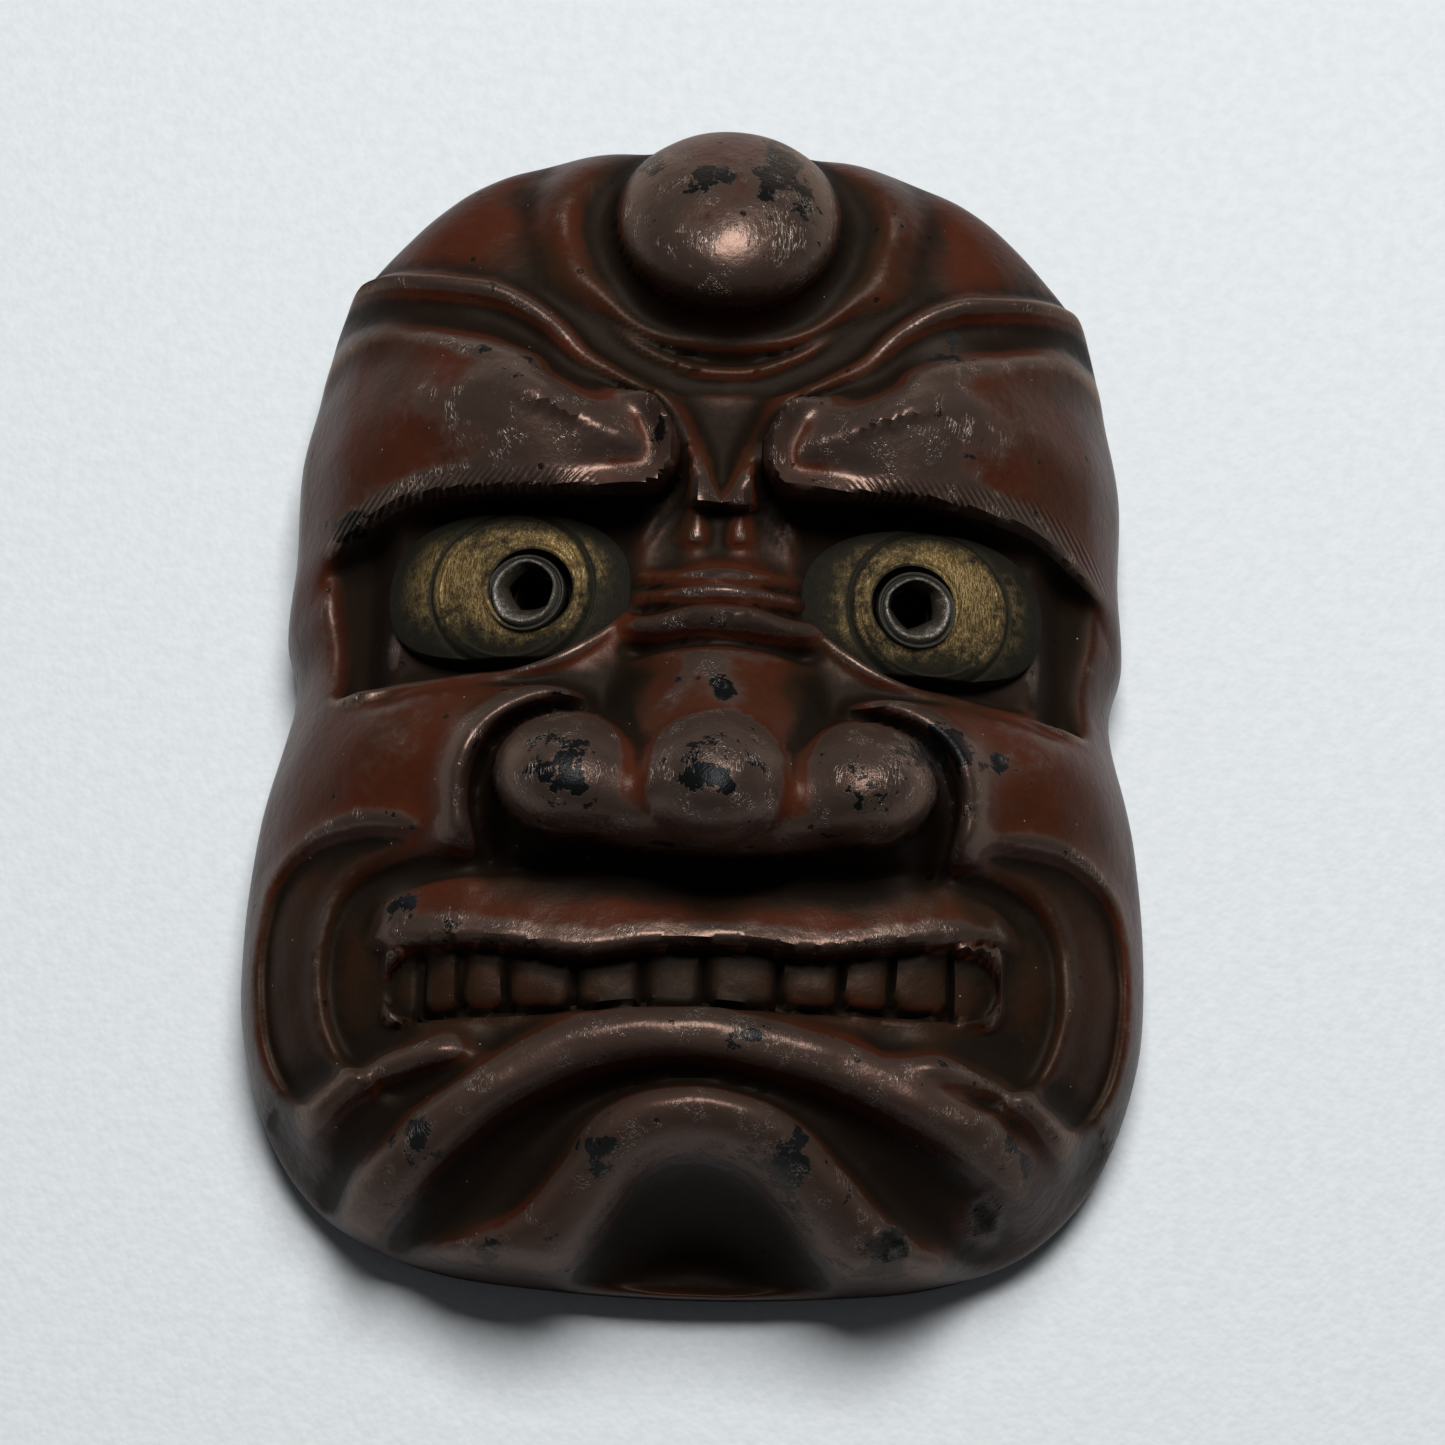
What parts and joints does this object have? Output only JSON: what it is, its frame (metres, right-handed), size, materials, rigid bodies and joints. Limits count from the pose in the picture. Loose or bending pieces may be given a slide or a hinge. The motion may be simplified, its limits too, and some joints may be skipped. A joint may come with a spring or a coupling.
{
  "type": "noh mask",
  "caption": "Small carved and lacquered demon mask, hollow behind, with gilt eye plates, bared teeth and a cord bar across its back.",
  "frame": {"origin": "middle of the mask's footprint, on the plane of its back rim, where it lies", "axes": "+Z out of the face, +Y from the chin to the crown, +X to the right of someone who looks at the face"},
  "size_m": [0.0368, 0.0478, 0.019],
  "materials": {
    "red_lacquer": "worn semi-gloss red-brown lacquer over wood",
    "gilt": "tarnished gilding",
    "collar_metal": "dull worn metal",
    "black_lacquer": "black lacquer over wood"
  },
  "bodies": {
    "root": {"mask_shell": "red_lacquer", "left_eye": "gilt", "left_pupil_collar": "collar_metal", "right_eye": "gilt", "right_pupil_collar": "collar_metal", "cord_bar": "black_lacquer"}
  },
  "joints": []
}
